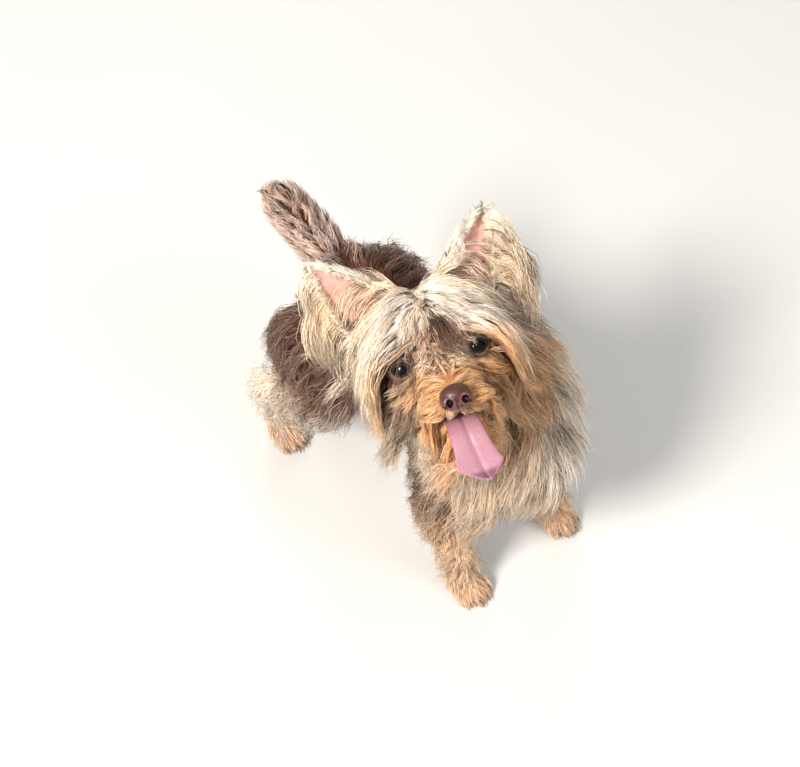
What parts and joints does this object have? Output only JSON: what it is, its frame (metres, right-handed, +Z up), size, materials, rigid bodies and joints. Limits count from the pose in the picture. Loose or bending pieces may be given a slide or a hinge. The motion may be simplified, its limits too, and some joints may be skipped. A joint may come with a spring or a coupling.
{
  "type": "yorkshire terrier",
  "caption": "Small long-coated terrier standing on four feet, head turned up to its right with the mouth open and the tongue out, ears and tail up.",
  "frame": {"origin": "on the floor under the middle of the dog's box, midway between its sides and between chest and tail", "axes": "-Y the way the body faces, +X towards the dog's left side, +Z up"},
  "size_m": [0.154, 0.2424, 0.2807],
  "materials": {
    "coat_body": "long silky coat, satin",
    "coat_ruff": "long silky coat, satin",
    "coat_tail": "long silky coat, satin",
    "coat_head": "long silky coat, satin",
    "coat_beard": "long silky coat, satin",
    "coat_leg": "short coat, matt",
    "coat_ear": "short coat over bare skin, matt",
    "nose_skin": "moist fine grain",
    "tongue_skin": "moist, semi-gloss",
    "eye_glass": "clear gloss"
  },
  "bodies": {
    "root": {"ear_left": "coat_ear", "ear_right": "coat_ear", "eye_left": "eye_glass", "eye_right": "eye_glass", "foreleg_left": "coat_leg", "foreleg_right": "coat_leg", "forepaw_left": "coat_leg", "forepaw_right": "coat_leg", "head": "coat_head", "hindleg_left": "coat_leg", "hindleg_right": "coat_leg", "hindpaw_left": "coat_leg", "hindpaw_right": "coat_leg", "lower_jaw": "coat_beard", "neck": "coat_ruff", "nose": "nose_skin", "tail": "coat_tail", "tongue": "tongue_skin", "torso": "coat_body"}
  },
  "joints": []
}
